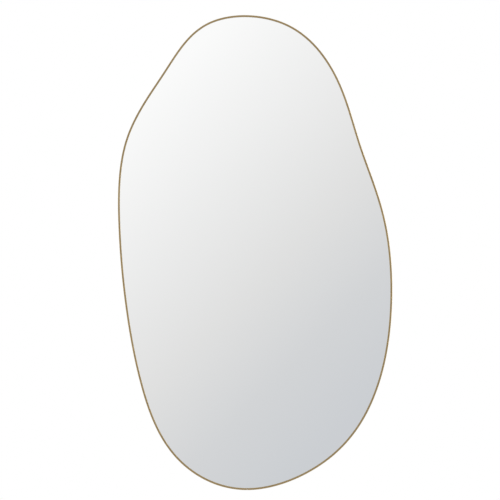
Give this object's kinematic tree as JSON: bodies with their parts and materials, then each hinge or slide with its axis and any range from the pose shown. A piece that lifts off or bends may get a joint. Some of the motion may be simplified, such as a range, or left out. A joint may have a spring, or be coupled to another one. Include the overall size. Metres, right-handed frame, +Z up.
{
  "type": "irregular wall mirror",
  "caption": "Pebble-shaped wall mirror in a thin champagne-gold metal channel rim, with a fibreboard back and D-ring hangers that swing up on to wall hooks.",
  "frame": {"origin": "on the wall plane, on the plumb line through the middle of the glass, at the height at which the two wall hooks carry the raised rings", "axes": "+Z up, +Y into the wall, so that the mirror faces -Y, and +X to the right as seen from the front"},
  "size_m": [0.5199, 0.025, 0.8999],
  "materials": {
    "rim_metal": "champagne-gold anodised, fine satin",
    "mirror_glass": "silvered float glass with polished edges",
    "foam": "white closed-cell foam",
    "fibreboard": "brown medium-density fibreboard",
    "spring_steel": "tempered spring steel",
    "zinc_plate": "bright zinc plate",
    "black_oxide": "black oxide",
    "clear_rubber": "soft clear bumper"
  },
  "bodies": {
    "mirror": {"rim": "rim_metal", "rim_splice": "zinc_plate", "splice_screw_1": "black_oxide", "splice_screw_2": "black_oxide", "splice_screw_3": "black_oxide", "splice_screw_4": "black_oxide", "mirror_glass": "mirror_glass", "foam_sheet": "foam", "backing_board": "fibreboard", "spring_clip_1": "spring_steel", "spring_clip_2": "spring_steel", "spring_clip_3": "spring_steel", "spring_clip_4": "spring_steel", "spring_clip_5": "spring_steel", "spring_clip_6": "spring_steel", "spring_clip_7": "spring_steel", "spring_clip_8": "spring_steel", "hanger_strap_left": "zinc_plate", "hanger_strap_right": "zinc_plate", "hanger_screw_left_1": "zinc_plate", "hanger_screw_left_2": "zinc_plate", "hanger_screw_right_1": "zinc_plate", "hanger_screw_right_2": "zinc_plate", "wall_bumper_lower_right": "clear_rubber", "wall_bumper_upper_right": "clear_rubber", "wall_bumper_upper_left": "clear_rubber", "wall_bumper_lower_left": "clear_rubber"},
    "left_ring": {"hanger_ring_left": "zinc_plate"},
    "right_ring": {"hanger_ring_right": "zinc_plate"}
  },
  "joints": [
    {"name": "left_ring_swing", "type": "hinge", "parent": "mirror", "child": "left_ring", "pos_m": [-0.14, -0.00965, -0.014], "axis": [1, 0, 0], "range_deg": [0, 180]},
    {"name": "right_ring_swing", "type": "hinge", "parent": "mirror", "child": "right_ring", "pos_m": [0.14, -0.00965, -0.014], "axis": [1, 0, 0], "range_deg": [0, 180]}
  ]
}
